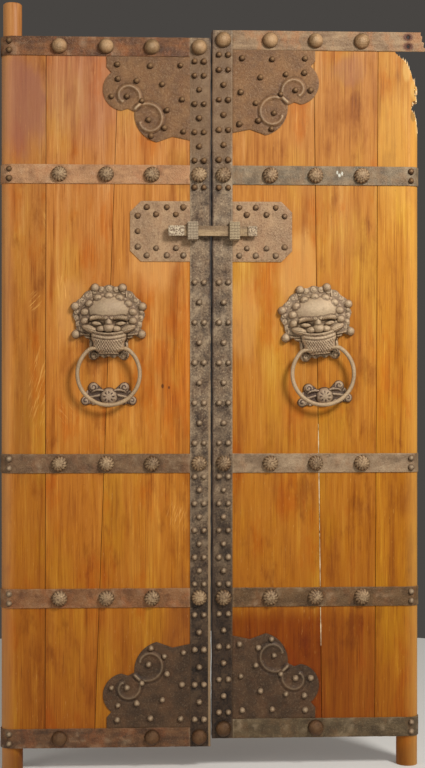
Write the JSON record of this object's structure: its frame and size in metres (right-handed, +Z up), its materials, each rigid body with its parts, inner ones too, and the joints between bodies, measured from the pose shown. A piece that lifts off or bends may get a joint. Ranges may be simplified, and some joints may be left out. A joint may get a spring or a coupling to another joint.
{
  "type": "pair of old wooden courtyard door leaves with iron fittings",
  "caption": "Pair of old boarded door leaves on wooden pivots, with iron straps, studs, corner plates, lion ring knockers and a sliding bolt across the meeting edge.",
  "frame": {"origin": "foot of the left leaf's lower pivot, on the pivot's axis", "axes": "+X to the viewer's right along the leaves, +Y away from the viewer, from front to back, +Z up along the pivots"},
  "size_m": [1.203, 0.116, 2.132],
  "materials": {
    "varnished_wood": "worn honey varnish",
    "old_iron": "dull brown rust and old wax"
  },
  "bodies": {
    "leaves": {"left_batten_1": "varnished_wood", "left_batten_2": "varnished_wood", "left_batten_3": "varnished_wood", "left_batten_4": "varnished_wood", "left_batten_5": "varnished_wood", "left_bottom_corner_plate": "old_iron", "left_corner_plate_nails": "old_iron", "left_edge_plate": "old_iron", "left_edge_plate_nails": "old_iron", "left_embossed_studs": "old_iron", "left_inner_board": "varnished_wood", "left_keeper": "old_iron", "left_lion_mask": "old_iron", "left_lock_plate": "old_iron", "left_lock_plate_nails": "old_iron", "left_middle_board": "varnished_wood", "left_pivot_stile": "varnished_wood", "left_plain_studs": "old_iron", "left_strap_1": "old_iron", "left_strap_2": "old_iron", "left_strap_3": "old_iron", "left_strap_4": "old_iron", "left_strap_5": "old_iron", "left_strap_end_nails": "old_iron", "left_striker_plate": "old_iron", "left_top_corner_plate": "old_iron", "right_batten_1": "varnished_wood", "right_batten_2": "varnished_wood", "right_batten_3": "varnished_wood", "right_batten_4": "varnished_wood", "right_batten_5": "varnished_wood", "right_bottom_corner_plate": "old_iron", "right_corner_plate_nails": "old_iron", "right_edge_plate": "old_iron", "right_edge_plate_nails": "old_iron", "right_embossed_studs": "old_iron", "right_inner_board": "varnished_wood", "right_keeper": "old_iron", "right_lion_mask": "old_iron", "right_lock_plate": "old_iron", "right_lock_plate_nails": "old_iron", "right_middle_board": "varnished_wood", "right_pivot_stile": "varnished_wood", "right_plain_studs": "old_iron", "right_strap_1": "old_iron", "right_strap_2": "old_iron", "right_strap_3": "old_iron", "right_strap_4": "old_iron", "right_strap_5": "old_iron", "right_strap_end_nails": "old_iron", "right_striker_plate": "old_iron", "right_top_corner_plate": "old_iron"},
    "bolt_bar": {"bolt_bar": "old_iron"},
    "left_ring": {"left_knocker_ring": "old_iron"},
    "right_ring": {"right_knocker_ring": "old_iron"}
  },
  "joints": [
    {"name": "bolt_slide", "type": "slide", "parent": "leaves", "child": "bolt_bar", "axis": [-1, 0, 0], "range_m": [0, 0.135]},
    {"name": "left_ring_hinge", "type": "hinge", "parent": "leaves", "child": "left_ring", "pos_m": [0.269, -0.06, 1.17], "axis": [-1, 0, 0], "range_deg": [0, 100]},
    {"name": "right_ring_hinge", "type": "hinge", "parent": "leaves", "child": "right_ring", "pos_m": [0.8567, -0.06, 1.17], "axis": [-0.9945, 0, -0.1045], "range_deg": [0, 100]}
  ]
}
